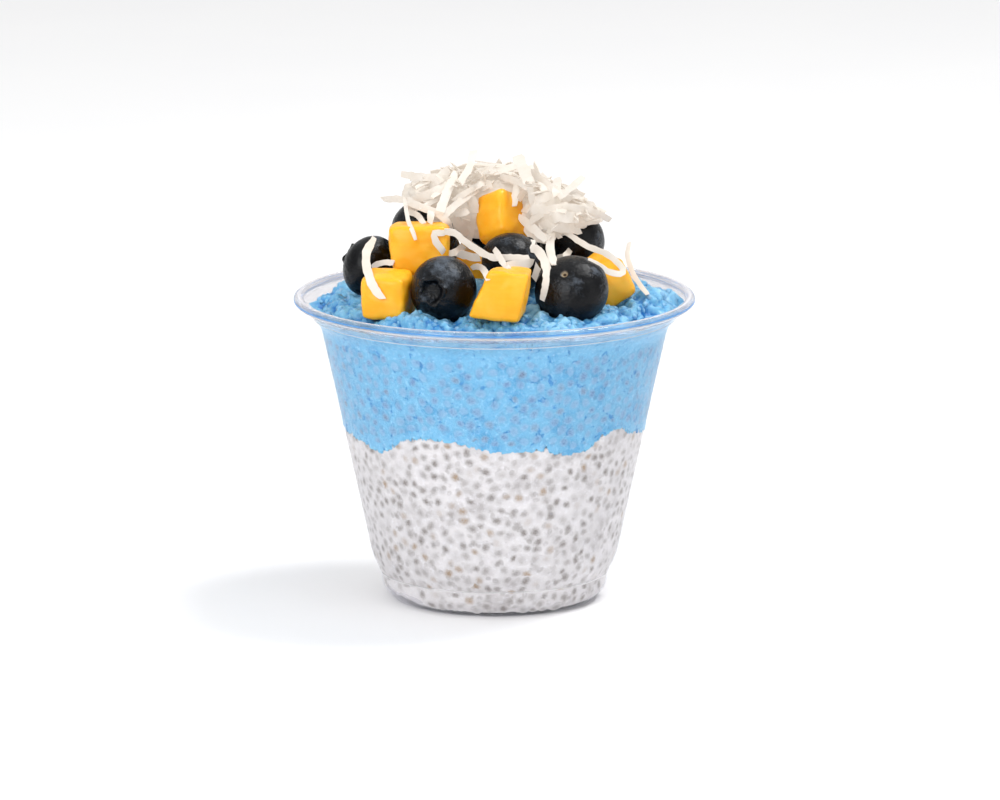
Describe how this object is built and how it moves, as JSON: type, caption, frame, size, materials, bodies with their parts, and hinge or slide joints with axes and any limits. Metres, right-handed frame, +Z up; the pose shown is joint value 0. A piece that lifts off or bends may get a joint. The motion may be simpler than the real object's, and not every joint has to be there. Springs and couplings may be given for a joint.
{
  "type": "chia pudding in a cup",
  "caption": "Layered chia pudding in a clear flared plastic cup, heaped with blueberries, mango cubes and shredded coconut; a dessert to stand on a table or shelf.",
  "frame": {"origin": "centre of the cup's foot, on the surface that it stands on", "axes": "+Z up along the cup's axis; -Y towards the side of the heap that the picture shows"},
  "size_m": [0.098, 0.098, 0.109],
  "materials": {
    "cup": "clear polished",
    "white_pudding": "moist gel",
    "blue_pudding": "moist gel",
    "blueberry": "waxy bloom",
    "mango": "moist cut fruit",
    "coconut": "dry shreds"
  },
  "bodies": {
    "root": {"cup": "cup", "white_pudding": "white_pudding", "blue_pudding": "blue_pudding", "blueberry_back_left": "blueberry", "blueberry_back_right": "blueberry", "blueberry_front_left": "blueberry", "blueberry_front_right": "blueberry", "blueberry_left": "blueberry", "blueberry_middle": "blueberry", "blueberry_upper_back": "blueberry", "blueberry_upper_left": "blueberry", "blueberry_upper_right": "blueberry", "mango_cube_back": "mango", "mango_cube_back_left": "mango", "mango_cube_back_right": "mango", "mango_cube_front": "mango", "mango_cube_inner": "mango", "mango_cube_left": "mango", "mango_cube_right": "mango", "mango_cube_top": "mango", "mango_cube_upper_left": "mango", "coconut_shreds": "coconut", "coconut_strip_left": "coconut", "coconut_strip_right": "coconut"}
  },
  "joints": []
}
